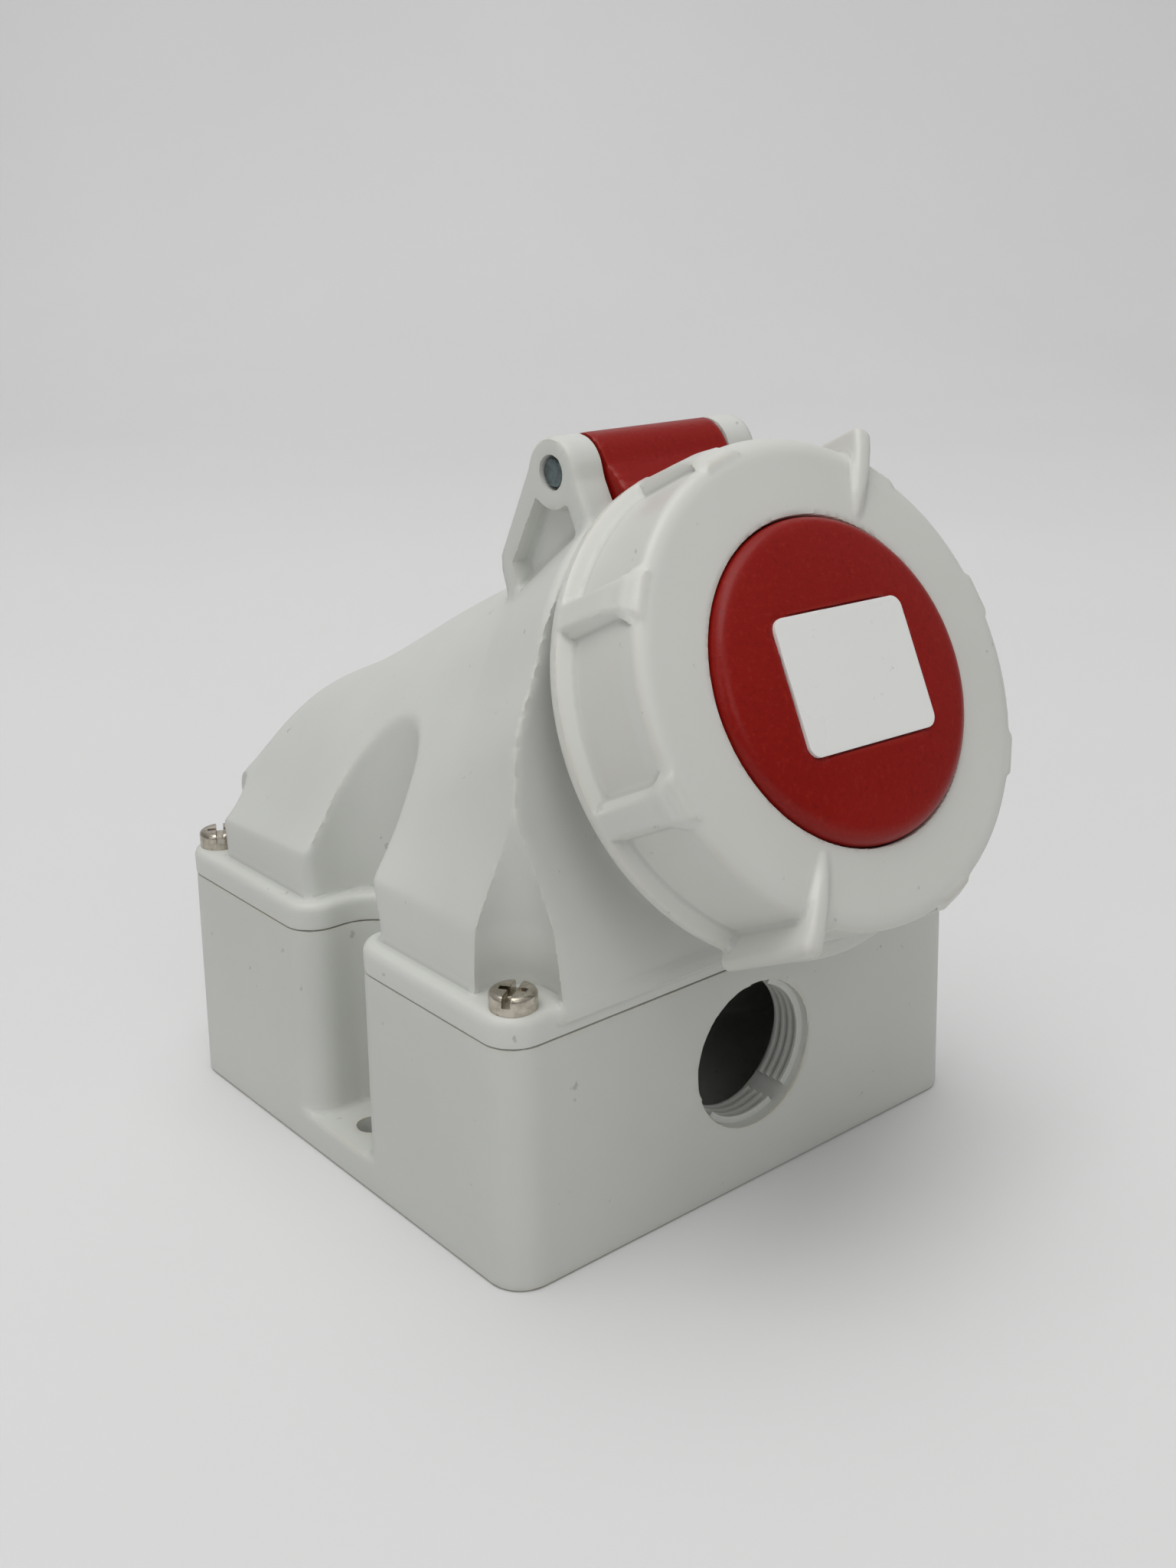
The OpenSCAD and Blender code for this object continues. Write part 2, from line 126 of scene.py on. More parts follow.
# ---------------------------------------------------------------------------
# dual contouring: a field becomes a closed mesh with its edges kept crisp
# ---------------------------------------------------------------------------
def contour(f, lo, hi, h):
    lo = np.array(lo, float)
    n = np.ceil((np.array(hi, float) - lo) / h).astype(int) + 1
    ax = [lo[i] + h * np.arange(n[i]) for i in range(3)]
    F = np.empty(n)
    for i0 in range(0, n[0], 12):
        X, Y, Z = np.meshgrid(ax[0][i0:i0 + 12], ax[1], ax[2], indexing="ij")
        F[i0:i0 + 12] = f(X.ravel(), Y.ravel(), Z.ravel()).reshape(X.shape)
    inside = F < 0
    m = n - 1
    ncell = int(m[0] * m[1] * m[2])
    P, cells, quads = [], [], []
    for a in range(3):
        b, c = (a + 1) % 3, (a + 2) % 3
        s0 = [slice(None)] * 3
        s1 = [slice(None)] * 3
        s0[a], s1[a] = slice(0, -1), slice(1, None)
        change = inside[tuple(s0)] != inside[tuple(s1)]
        idx = np.argwhere(change)
        ok = (idx[:, b] > 0) & (idx[:, b] < n[b] - 1) & (idx[:, c] > 0) & (idx[:, c] < n[c] - 1)
        idx = idx[ok]
        nxt = idx.copy()
        nxt[:, a] += 1
        fa = F[tuple(idx.T)]
        fb = F[tuple(nxt.T)]
        base = lo + idx * h
        t0, t1 = np.zeros(len(idx)), np.ones(len(idx))
        f0, f1 = fa.copy(), fb.copy()
        for _ in range(4):
            t = np.clip(t0 - f0 * (t1 - t0) / (f1 - f0 + 1e-12), t0 + 0.02 * (t1 - t0), t1 - 0.02 * (t1 - t0))
            p = base.copy()
            p[:, a] += t * h
            ft = f(p[:, 0], p[:, 1], p[:, 2])
            same = (ft < 0) == (f0 < 0)
            t0, f0 = np.where(same, t, t0), np.where(same, ft, f0)
            t1, f1 = np.where(same, t1, t), np.where(same, f1, ft)
        t = t0 - f0 * (t1 - t0) / (f1 - f0 + 1e-12)
        p = base.copy()
        p[:, a] += np.clip(t, 0, 1) * h
        P.append(p)
        four = []
        for db, dc in ((-1, -1), (0, -1), (0, 0), (-1, 0)):
            q = idx.copy()
            q[:, b] += db
            q[:, c] += dc
            four.append(q[:, 0] * m[1] * m[2] + q[:, 1] * m[2] + q[:, 2])
        four = np.stack(four, 1)
        cells.append(four)
        quads.append(np.where((fa < 0)[:, None], four, four[:, ::-1]))
    P = np.concatenate(P)
    C = np.concatenate(cells)
    Q = np.concatenate(quads)
    e = 0.02
    N = np.stack([f(P[:, 0] + e * (k == 0), P[:, 1] + e * (k == 1), P[:, 2] + e * (k == 2))
                  - f(P[:, 0] - e * (k == 0), P[:, 1] - e * (k == 1), P[:, 2] - e * (k == 2)) for k in range(3)], 1)
    N /= np.linalg.norm(N, axis=1)[:, None] + 1e-12
    used, inv = np.unique(C.ravel(), return_inverse=True)
    nv = len(used)
    rep = np.repeat(np.arange(len(P)), 4)
    cnt = np.bincount(inv, minlength=nv).astype(float)
    mean = np.stack([np.bincount(inv, P[rep, k], nv) for k in range(3)], 1) / cnt[:, None]
    A = np.zeros((nv, 3, 3))
    B = np.zeros((nv, 3))
    d = np.einsum("ij,ij->i", N[rep], P[rep] - mean[inv])
    for i in range(3):
        B[:, i] = np.bincount(inv, N[rep, i] * d, nv)
        for j in range(i, 3):
            A[:, i, j] = A[:, j, i] = np.bincount(inv, N[rep, i] * N[rep, j], nv)
    A += np.eye(3)[None] * (0.04 * cnt)[:, None, None]
    x = np.linalg.solve(A, B[:, :, None])[:, :, 0]
    V = mean + x
    ijk = np.stack([used // (m[1] * m[2]), (used // m[2]) % m[1], used % m[2]], 1)
    cl = lo + ijk * h
    V = np.clip(V, cl - 0.05 * h, cl + 1.05 * h)
    # one step on to the surface where it is smooth
    g = np.stack([f(V[:, 0] + e * (k == 0), V[:, 1] + e * (k == 1), V[:, 2] + e * (k == 2))
                  - f(V[:, 0] - e * (k == 0), V[:, 1] - e * (k == 1), V[:, 2] - e * (k == 2)) for k in range(3)], 1) / (2 * e)
    fv = f(V[:, 0], V[:, 1], V[:, 2])
    step = -fv[:, None] * g / (np.sum(g * g, 1) + 1e-9)[:, None]
    ln = np.linalg.norm(step, axis=1)
    step *= np.minimum(1, 0.35 * h / (ln + 1e-9))[:, None]
    V = V + step
    remap = np.searchsorted(used, Q)
    # how sharply the surface bends outwards at each vertex, for the wear on the edges; where it bends inwards the value
    # drives the painted shade in the hollows
    k = 0.9
    lap = -6 * f(V[:, 0], V[:, 1], V[:, 2])
    for j in range(3):
        for sg in (-k, k):
            lap = lap + f(V[:, 0] + sg * (j == 0), V[:, 1] + sg * (j == 1), V[:, 2] + sg * (j == 2))
    edge = np.clip(lap / k / 1.2, -1, 1)
    return V, remap, edge


def to_object(name, V, Q, edge, body, nodes, mat, world=None, angle=38):
    if world is not None:
        V = world(V)
    me = bpy.data.meshes.new(name)
    me.vertices.add(len(V))
    me.vertices.foreach_set("co", (V * 0.001).astype(np.float32).ravel())
    me.loops.add(Q.size)
    me.loops.foreach_set("vertex_index", Q.astype(np.int32).ravel())
    me.polygons.add(len(Q))
    me.polygons.foreach_set("loop_start", np.arange(0, Q.size, 4, dtype=np.int32))
    me.polygons.foreach_set("loop_total", np.full(len(Q), 4, dtype=np.int32))
    me.update(calc_edges=True)
    me.validate()
    me.polygons.foreach_set("use_smooth", np.ones(len(me.polygons), dtype=bool))
    me.set_sharp_from_angle(angle=math.radians(angle))
    at = me.attributes.new("edge", "FLOAT", "POINT")
    if len(at.data) == len(edge):
        at.data.foreach_set("value", edge.astype(np.float32))
    ob = bpy.data.objects.new(name, me)
    bpy.context.scene.collection.objects.link(ob)
    me.materials.append(mat)
    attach(ob, body)
    if nodes:
        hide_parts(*nodes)
    return ob


# ---------------------------------------------------------------------------
# materials
# ---------------------------------------------------------------------------
def new_mat(name):
    m = bpy.data.materials.new(name)
    m.use_nodes = True
    nt = m.node_tree
    return m, nt, nt.nodes["Principled BSDF"]


def noise(nt, coord, scale, detail=3.0, rough=0.55):
    n = nt.nodes.new("ShaderNodeTexNoise")
    n.inputs["Scale"].default_value = scale
    n.inputs["Detail"].default_value = detail
    n.inputs["Roughness"].default_value = rough
    nt.links.new(coord, n.inputs["Vector"])
    return n.outputs["Fac"]


def ramp(nt, fac, stops):
    r = nt.nodes.new("ShaderNodeValToRGB")
    els = r.color_ramp.elements
    while len(els) < len(stops):
        els.new(0.5)
    for e, (p, c) in zip(els, stops):
        e.position = p
        e.color = (*c, 1) if len(c) == 3 else c
    nt.links.new(fac, r.inputs["Fac"])
    return r.outputs["Color"]


def maprange(nt, fac, a, b, c, d):
    n = nt.nodes.new("ShaderNodeMapRange")
    for key, val in (("From Min", a), ("From Max", b), ("To Min", c), ("To Max", d)):
        n.inputs[key].default_value = val
    nt.links.new(fac, n.inputs["Value"])
    return n.outputs["Result"]


def mix(nt, fac, a, b, blend="MIX"):
    n = nt.nodes.new("ShaderNodeMix")
    n.data_type = "RGBA"
    n.blend_type = blend
    if isinstance(fac, float):
        n.inputs[0].default_value = fac
    else:
        nt.links.new(fac, n.inputs[0])
    for sock, val in ((n.inputs[6], a), (n.inputs[7], b)):
        if isinstance(val, tuple):
            sock.default_value = (*val, 1)
        else:
            nt.links.new(val, sock)
    return n.outputs[2]


def math_node(nt, op, a, b=None):
    n = nt.nodes.new("ShaderNodeMath")
    n.operation = op
    for sock, val in ((n.inputs[0], a), (n.inputs[1], b)):
        if val is None:
            continue
        if isinstance(val, (int, float)):
            sock.default_value = val
        else:
            nt.links.new(val, sock)
    return n.outputs[0]


def bump(nt, bsdf, height, strength, dist):
    b = nt.nodes.new("ShaderNodeBump")
    b.inputs["Strength"].default_value = strength
    b.inputs["Distance"].default_value = dist
    nt.links.new(height, b.inputs["Height"])
    nt.links.new(b.outputs["Normal"], bsdf.inputs["Normal"])


def plastic(name, base, light, dark, rough=(0.38, 0.52), grain=1500.0, strength=0.12, wear=(0.60, 0.57, 0.47), wear_amount=0.5,
            use_edge=True, hollow_shade=0.35):
    m, nt, bs = new_mat(name)
    tc = nt.nodes.new("ShaderNodeTexCoord").outputs["Object"]
    big = noise(nt, tc, 18.0, 4.0)
    col = ramp(nt, big, [(0.3, dark), (0.5, base), (0.72, light)])
    if use_edge:
        at = nt.nodes.new("ShaderNodeAttribute")
        at.attribute_name = "edge"
        patch = noise(nt, tc, 60.0, 5.0, 0.65)
        wearf = math_node(nt, "MULTIPLY", maprange(nt, at.outputs["Fac"], 0.25, 0.9, 0.0, wear_amount), maprange(nt, patch, 0.42, 0.62, 0.15, 1.0))
        col = mix(nt, wearf, col, wear)
        # painted shade: hollows, creases and inner corners are darkened in the colour, standing in for the shade that
        # falls there
        painted_hollow_shade = maprange(nt, at.outputs["Fac"], -0.2, -0.9, 0.0, hollow_shade)
        col = mix(nt, painted_hollow_shade, col, tuple(c * 0.62 for c in dark))
    # a few small scuffs and specks
    speck = noise(nt, tc, 420.0, 2.0, 0.5)
    col = mix(nt, maprange(nt, speck, 0.735, 0.78, 0.0, 0.45), col, tuple(c * 0.45 for c in dark))
    nt.links.new(col, bs.inputs["Base Color"])
    fine = noise(nt, tc, grain, 2.0, 0.6)
    nt.links.new(maprange(nt, noise(nt, tc, 35.0, 4.0), 0.3, 0.7, rough[0], rough[1]), bs.inputs["Roughness"])
    bump(nt, bs, fine, strength, 0.0001)
    bs.inputs["Specular IOR Level"].default_value = 0.5
    return m


def metal(name, base, dark, rough=(0.22, 0.4), grain=900.0, bump_s=0.1):
    m, nt, bs = new_mat(name)
    tc = nt.nodes.new("ShaderNodeTexCoord").outputs["Object"]
    col = ramp(nt, noise(nt, tc, 350.0, 5.0, 0.7), [(0.35, dark), (0.6, base)])
    nt.links.new(col, bs.inputs["Base Color"])
    bs.inputs["Metallic"].default_value = 1.0
    nt.links.new(maprange(nt, noise(nt, tc, 240.0, 4.0), 0.35, 0.65, rough[0], rough[1]), bs.inputs["Roughness"])
    bump(nt, bs, noise(nt, tc, grain, 3.0), bump_s, 0.0001)
    return m


housing_mat = plastic("housing_plastic", (0.655, 0.665, 0.63), (0.68, 0.69, 0.655), (0.62, 0.63, 0.595), wear_amount=0.22)
base_mat = plastic("base_plastic", (0.62, 0.63, 0.595), (0.645, 0.655, 0.62), (0.59, 0.60, 0.565), rough=(0.42, 0.56))
ring_mat = plastic("ring_plastic", (0.66, 0.66, 0.625), (0.68, 0.68, 0.645), (0.63, 0.63, 0.595), rough=(0.30, 0.42), strength=0.06, wear_amount=0.3)
seal_mat = plastic("seal_rubber", (0.03, 0.03, 0.032), (0.045, 0.045, 0.047), (0.018, 0.018, 0.02), rough=(0.6, 0.8), use_edge=False)
carrier_mat = plastic("carrier_plastic", (0.05, 0.05, 0.052), (0.065, 0.065, 0.067), (0.03, 0.03, 0.032), use_edge=False)
label_mat = plastic("label_film", (0.84, 0.84, 0.82), (0.86, 0.86, 0.84), (0.81, 0.81, 0.79), rough=(0.24, 0.34), strength=0.03, grain=700.0, use_edge=False)
brass_mat = metal("contact_brass", (0.78, 0.58, 0.27), (0.60, 0.42, 0.18))
nickel_mat = metal("screw_nickel", (0.62, 0.57, 0.49), (0.36, 0.32, 0.26), rough=(0.2, 0.42))
zinc_mat = metal("zinc_blue", (0.17, 0.21, 0.215), (0.07, 0.09, 0.09), rough=(0.25, 0.45))


def red_plastic(name, rough, grain_amount):
    m, nt, bs = new_mat(name)
    tc = nt.nodes.new("ShaderNodeTexCoord").outputs["Object"]
    big = noise(nt, tc, 25.0, 4.0)
    col = ramp(nt, big, [(0.3, (0.235, 0.0045, 0.002)), (0.7, (0.275, 0.006, 0.0025))])
    fine = noise(nt, tc, 1300.0, 2.0, 0.65)
    col = mix(nt, maprange(nt, fine, 0.56, 0.74, 0.0, grain_amount), col, (0.32, 0.02, 0.012))
    col = mix(nt, maprange(nt, fine, 0.42, 0.28, 0.0, grain_amount), col, (0.15, 0.004, 0.003))
    at = nt.nodes.new("ShaderNodeAttribute")
    at.attribute_name = "edge"
    col = mix(nt, maprange(nt, at.outputs["Fac"], 0.4, 1.0, 0.0, 0.22), col, (0.42, 0.05, 0.035))
    nt.links.new(col, bs.inputs["Base Color"])
    nt.links.new(maprange(nt, noise(nt, tc, 60.0, 4.0), 0.35, 0.65, rough[0], rough[1]), bs.inputs["Roughness"])
    bump(nt, bs, fine, 0.3, 0.00012)
    bs.inputs["Specular IOR Level"].default_value = 0.22
    return m


red_mat = red_plastic("lid_red_plastic", (0.26, 0.36), 0.5)

# ---------------------------------------------------------------------------
# shared sizes (mm)
# ---------------------------------------------------------------------------
TILT = math.radians(64)
NY, NZ = -math.sin(TILT), math.cos(TILT)
VY, VZ = math.cos(TILT), math.sin(TILT)
AY, AZ0 = -68.2, 93.2
HW, HL, TAPER = 52.3, 51.5, 0.02
PIN_Y, PIN_Z = -24.0, 120.7
WY = -0.4


def sv(y, z):
    dy, dz = y - AY, z - AZ0
    return NY * dy + NZ * dz, VY * dy + VZ * dz


def from_socket(V):
    """Socket frame (u, v, s) to the model's frame."""
    u, v, s = V[:, 0], V[:, 1], V[:, 2]
    return np.stack([u, AY + NY * s + VY * v, AZ0 + NZ * s + VZ * v], 1)


def waist(x, y, r):
    return np.hypot(np.minimum(np.abs(x) - 43.5, 0), y - WY) - r


# ---------------------------------------------------------------------------
# base
# ---------------------------------------------------------------------------
def f_base(x, y, z):
    out = rrect(x, y, HW - TAPER * z, HL - TAPER * z, 6.2)
    body = rcut(out, waist(x, y, 7.5), 5.9)
    pad = rmax(out, z - 6.3, 0.8)
    f = np.maximum(rmin(body, pad, 1.0), out)
    f = rmax(f, z - 41.55, 0.3)
    f = rmax(f, -z, 0.7)
    cav = rcut(rrect(x, y, HW - 3.8, HL - 3.8, 3), waist(x, y, 10.5), 3)
    cav = rmax(cav, 3 - z, 1.2)
    hole = np.hypot(x, z - 24.1)
    boss = np.maximum(hole - 15.5, y + 42.5)
    cav = np.maximum(cav, -boss)
    post = np.hypot(np.abs(x) - 46.2, np.abs(y) - 45.6) - 4.2
    cav = rcut(cav, post, 1.0)
    f = rcut(f, cav, 0.6)
    f = rcut(f, np.maximum(hole - 13.0, y + 40), 0.4)
    f = rcut(f, np.maximum(np.hypot(np.abs(x) - 45.2, y + 1.0) - 2.7, z - 9), 0.4)
    return f


# ---------------------------------------------------------------------------
# cover
# ---------------------------------------------------------------------------
ST_Y = [-60.0, -50.4, -11.0, 9.0, 40.0, 47.6, 60.0]
ST = {
    "zb": [57.4, 57.4, 57.0, 54.9, 53.5, 53.2, 52.8],
    "xs": [41.2, 40.7, 36.7, 34.3, 31.0, 36.0, 42.0],
    "zs": [94.0, 91.0, 74.0, 72.2, 71.0, 60.5, 50.0],
    "xr": [23.0, 22.5, 20.5, 17.6, 14.0, 15.5, 18.0],
    "zr": [102.0, 99.0, 81.5, 79.1, 77.0, 64.5, 50.0]}
yy = np.arange(-60, 60.01, 0.5)
TAB = {}
for key, vals in ST.items():
    t = np.interp(yy, ST_Y, vals)
    w = np.hanning(19)
    w /= w.sum()
    TAB[key] = np.convolve(np.pad(t, 9, mode="edge"), w, mode="valid")

EAR = [(-19.5, 123.6), (-10.2, 106.0), (-10.3, 103.6), (-12.4, 97.0), (-36.5, 100.5), (-36.0, 109.0), (-33.1, 114.2), (-28.7, 122.4), (-24.0, 126.0)]
POCKET = [(-19.9, 116.2), (-13.5, 105.2), (-15.2, 99.3), (-33.0, 101.0), (-33.0, 106.2), (-30.3, 111.3), (-27.8, 116.0)]


def f_cover(x, y, z):
    s, v = sv(y, z)
    ax = np.abs(x)
    rad = np.hypot(x, v)
    # tube-like roof, widening to the front
    R = np.interp(s, [-100, -82, -60, -46, -22], [37.2, 36.8, 35.2, 35.4, 39.3])
    tube = (rad - R) * 0.987
    slope = (y - 47.6) * math.sin(math.radians(42)) + (z - 63.0) * math.cos(math.radians(42))
    roof = smax(tube, slope, 6.0)
    # leaning body
    q = {k: np.interp(y, yy, t) for k, t in TAB.items()}
    dx, dz = 48.4 - q["xs"], q["zs"] - q["zb"]
    side = ((ax - 48.4) * dz + (z - q["zb"]) * dx) / np.hypot(dx, dz)
    ex, ez = q["xs"] - q["xr"], q["zr"] - q["zs"]
    shoulder = ((ax - q["xs"]) * ez + (z - q["zs"]) * ex) / np.hypot(ex, ez)
    low = smax(ax - 48.4, side, 0.5)
    low = smax(low, shoulder, 5.0)
    low = smax(low, z - q["zr"], 5.0)
    f = smin(low, roof, 11.0)
    f = smax(f, y - 47.6, 2.2)
    front = (-45 + 0.2 * (z - 74.2) - y) / 1.0198
    f = rmax(f, front, 0.7)
    f = rmax(f, s + 22, 1.8)
    f = np.maximum(f, 44 - z)
    # waist recess; its edge is softer low down
    w = waist(x, y, 10.6)
    rr = np.interp(z, [49.5, 54.0, 57.5], [2.9, 1.8, 0.6])
    u1_ = np.maximum(f + rr, 0)
    v1_ = np.maximum(-w + rr, 0)
    f = np.minimum(np.maximum(f, -w), -rr) + np.sqrt(u1_ * u1_ + v1_ * v1_)
    # seats of the cover screws, cut into the corners as tall cones
    rc = np.interp(z, [46.5, 57.5, 74.0, 82.0], [7.3, 6.4, 2.5, 0.4])
    notch = (np.hypot(ax - 46.2, np.abs(y) - 45.6) - rc) * 0.98
    f = rcut(f, notch, 0.4)
    # ledge
    led = rcut(rrect(x, y, HW - 0.83, HL - 0.83, 6.0), waist(x, y, 7.5), 5.9)
    led = rmax(led, z - 46.5, 1.5)
    f = rmin(f, led, 0.9)
    # neck
    neck = rmax(rad - 31, s + 9.5, 0.6)
    neck = np.maximum(neck, -50 - s)
    f = rmin(f, neck, 1.2)

    def lug(k):
        a = np.full(k.sum(), 1e9)
        X, Vv, S = x[k], v[k], s[k]
        for deg in (30, 150, 270):
            c, t = math.cos(math.radians(deg)), math.sin(math.radians(deg))
            al, ac = X * c + Vv * t, -X * t + Vv * c
            a = np.minimum(a, np.maximum(np.maximum(np.abs(ac) - 4.6, -al), np.maximum(np.hypot(X, Vv) - 34.9, np.abs(S + 16) - 1.5)))
        return rmin(f[k], a, 0.3)
    f = only((rad < 39) & (s > -21) & (s < -11), f, lug)
    # ears
    def ear(k):
        Y, Z, X = y[k], z[k], ax[k]
        shape = poly_sdf(Y, Z, EAR)
        shape = smin(shape, np.hypot(Y - PIN_Y, Z - PIN_Z) - 5.5, 0.8)
        e = rmax(shape, X - 19.6, 0.8)
        e = rmax(e, 13.4 - X, 0.5)
        pocket = np.maximum(poly_sdf(Y, Z, POCKET), -(np.hypot(Y - PIN_Y, Z - PIN_Z) - 5.7))
        pocket = rmax(pocket + 0.5, 16.8 - X, 0.4) - 0.5
        e = rcut(e, pocket, 0.35)
        g = rmin(f[k], e, 1.0)
        slot = np.maximum(X - 13.4, np.minimum(poly_sdf(Y, Z, SLOT), np.hypot(Y - PIN_Y, Z - PIN_Z) - 6))
        g = rcut(g, slot, 0.4)
        pin = np.hypot(Y - PIN_Y, Z - PIN_Z)
        g = rcut(g, np.maximum(pin - 2.75, 17.2 - X), 0.3)
        g = np.maximum(g, -(pin - 1.5))
        return g
    f = only((ax < 22) & (y > -52) & (y < -6) & (z > 93), f, ear)
    # bore of the neck
    bore = np.maximum(rad - 26.8, -54 - s)
    bore = rmin(bore, np.maximum(rad - 27.5, -13.5 - s), 0.4)
    f = rcut(f, bore, 0.5)
    f = rmax(f, 41.7 - z, 0.3)
    return f


def yz(s, v):
    return (AY + NY * s + VY * v, AZ0 + NZ * s + VZ * v)


SLOT = [yz(-10, 32.9), yz(-10, 52), yz(-33, 52), yz(-32.4, 42.3), yz(-27.6, 38.1), yz(-25.9, 32.9)]


# ---------------------------------------------------------------------------
# ring, in the socket's frame
# ---------------------------------------------------------------------------
RIBS = [12, 54, 105, 149.5, 195.5, 287, 330]
PANELS = [(12, 54), (105, 149.5), (149.5, 195.5), (195.5, 243.5), (238.5, 287), (287, 330), (330, 372)]


def turned(u, v, deg):
    c, t = math.cos(math.radians(deg)), math.sin(math.radians(deg))
    return u * c + v * t, -u * t + v * c


def f_ring(u, v, s):
    r = np.hypot(u, v)
    th = np.degrees(np.arctan2(v, u)) % 360
    face = s + 0.45 + 0.055 * np.maximum(r - 24.6, 0)
    body = rmax(r - 38.6, face, 3.8)
    # pockets between the ribs, open to the face; their front corners are round
    sink = np.full(u.shape, -9.0)
    for a, b in PANELS:
        t = ((th - a) % 360) / (b - a)
        w = np.minimum(t, 1 - t) * (b - a) * 38.3 * math.pi / 180 - 2.9
        front = -4.6 + 3.6 * np.sin(np.clip(w / 5.0, 0, 1) * math.pi / 2)
        inside = smin(w, (front - s) * 0.7, 1.2)
        sink = np.maximum(sink, np.where(t < 1, inside, -9.0))
    pocket = np.maximum(-sink * 0.8, 37.35 - r)
    body = rcut(body, pocket, 0.45)
    f = rcut(body, rmax(r - 36.25, s + 4.2, 2.0), 0.5)
    f = rmax(f, 25.3 - r, 0.5)
    # rear lip with a sloping front
    lip = rmax(r - 39.9, -(s + 19), 0.4)
    lip = rmax(lip, (s + 17.25 + 0.5 * (r - 39.9)) * 0.9, 0.25)
    lip = np.maximum(lip, 36.25 - r)
    f = rmin(f, lip, 0.3)
    # side ribs
    for deg in RIBS:
        al, ac = turned(u, v, deg)
        top = np.interp(s, [-17.2, -7.5, -3.6, -1.6, -0.6], [39.75, 39.35, 38.7, 37.4, 35.5])
        rib = np.maximum((al - top) * 0.95, 34 - al)
        rib = rmax(rib, (np.abs(ac) - 2.15 - 0.5 * np.maximum(39.5 - al, 0)) * 0.89, 0.4)
        rib = np.maximum(rib, np.maximum(-17.5 - s, s + 1.2))
        rib = np.maximum(rib, 36.25 - r)
        f = rmin(f, rib, 0.35)
    # grip fins: thin walls that grow out of the face and run back to the lip
    for deg in (60.3, 238.5):
        al, ac = turned(u, v, deg)
        half = np.interp(al, [26.2, 27.2, 30, 34, 43], [0.15, 0.75, 1.2, 1.5, 1.7])
        crest = np.interp(al, [26.0, 27.5, 31, 35, 39, 42.9], [-0.9, -0.2, 0.3, 0.5, 0.3, -0.3])
        fin = rmax((s - crest) * 0.96, (np.abs(ac) - half) * 0.99, 1.15)
        fin = rmax(fin, al - 42.6, 1.4)
        fin = np.maximum(fin, 26.2 - al)
        fin = np.maximum(fin, -(s + 18.95))
        fin = np.where(al > 0, fin, 1e3)
        keep = -rmax(r - 36.25, s + 4.2, 2.0)
        fin = np.maximum(fin, keep)
        f = rmin(f, fin, 0.7)
    # bayonet lugs inside the rear edge
    for deg in (0, 120, 240):
        al, ac = turned(u, v, deg)
        lug = np.maximum(np.maximum(np.abs(ac) - 4.4, 32.6 - r), np.maximum(np.abs(s + 18.35) - 0.55, r - 37.5))
        lug = np.where(al > 0, lug, 1e3)
        f = rmin(f, lug, 0.25)
    # rear edge cut back on the arm's side
    c1, t1 = math.cos(math.radians(42)), math.sin(math.radians(42))
    c2, t2 = math.cos(math.radians(104)), math.sin(math.radians(104))
    wedge = np.maximum(-(-t1 * u + c1 * v), -(t2 * u - c2 * v))
    wedge = rmax(wedge, s + 13.0, 1.5)
    f = rcut(f, wedge, 0.5)
    return f


# ---------------------------------------------------------------------------
# lid, in the socket's frame
# ---------------------------------------------------------------------------
PS = NY * (PIN_Y - AY) + NZ * (PIN_Z - AZ0)
PV = VY * (PIN_Y - AY) + VZ * (PIN_Z - AZ0)
ARM = [(-7.0, 32.0), (-7.0, 35.6), (-19.4, 35.6), (-19.7, 37.8), (-23.9, 47.7), (-25.0, 48.7), (-31.2, 46.5), (-31.8, 43.0),
       (-27.0, 38.4), (-25.4, 33.4), (-9.2, 33.4), (-9.2, 32.0)]


def f_lid(u, v, s):
    r = np.hypot(u, v)
    dome = 2.6 - 1.35 * (r / 22.5) ** 2.6
    disc = smax(s - dome, r - 25.1, 2.4)
    f = np.maximum(disc, -8.6 - s)
    plate = rmax(r - 34.2, np.abs(s + 5.8) - 1.4, 0.4)
    f = rmin(f, plate, 0.4)
    rim = np.maximum(np.maximum(r - 34.2, 32.8 - r), np.maximum(s + 6, -9.2 - s))
    f = np.minimum(f, rim)
    f = rcut(f, np.maximum(r - 21, s + 0.4 + 0.0 * r), 0.8)
    arm = poly_sdf(s, v, ARM)
    arm = smax(arm, np.abs(u) - 13.1, 0.9)
    arm = np.maximum(arm, np.where(s > -19.35, r - 36.2, -9.0))
    arm = np.where(r < 33.5, np.maximum(arm, 33.5 - r), arm)
    pin = np.hypot(s - PS, v - PV)
    barrel = rmax(pin - 5.5, np.abs(u) - 13.1, 0.5)
    arm = smin(arm, barrel, 1.0)
    arm = np.maximum(arm, np.abs(u) - 13.1)
    arm = np.maximum(arm, -(pin - 1.52))
    f = np.minimum(f, arm)
    # shallow seat for the label
    lu, lv = turned(u, v, -1)
    seat = np.maximum(rrect(lu, lv, 13.8, 10.65, 2.3), 1.78 - s)
    f = rcut(f, seat, 0.15)
    return f


def build(name, f, lo, hi, h, body, nodes, mat, world=None):
    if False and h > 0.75:
        h *= 1.35
    V, Q, edge = contour(f, lo, hi, h)
    ob = to_object(name, V, Q, edge, body, nodes, mat, world)
    print(name, len(V), "vertices", len(Q), "faces")
    return ob


have = set(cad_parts)


def named(*names):
    return [n for n in names if n in have]


build("base_shell", f_base, (-54, -53, -1.3), (54, 53, 43), 1.0, "housing", named("base_box", "base_front", "base_rear", "base_left", "base_right"), base_mat)
build("cover_shell", f_cover, (-53.2, -85.3, 40.4), (53.2, 52.3, 128.3), 0.85, "housing", named("top_cover", "cover_flange", "hinge_ears", "neck_tube", "neck_lugs"), housing_mat)
build("locking_ring", f_ring, (-44, -44, -20.1), (44, 44, 2.2), 0.6, "ring", named("bayonet_ring", "ring_front", "ring_lugs"), ring_mat, from_socket)
build("lid_shell", f_lid, (-35.5, -35.5, -33.6), (35.5, 51.5, 4.0), 0.7, "lid", named("lid", "lid_arm"), red_mat, from_socket)


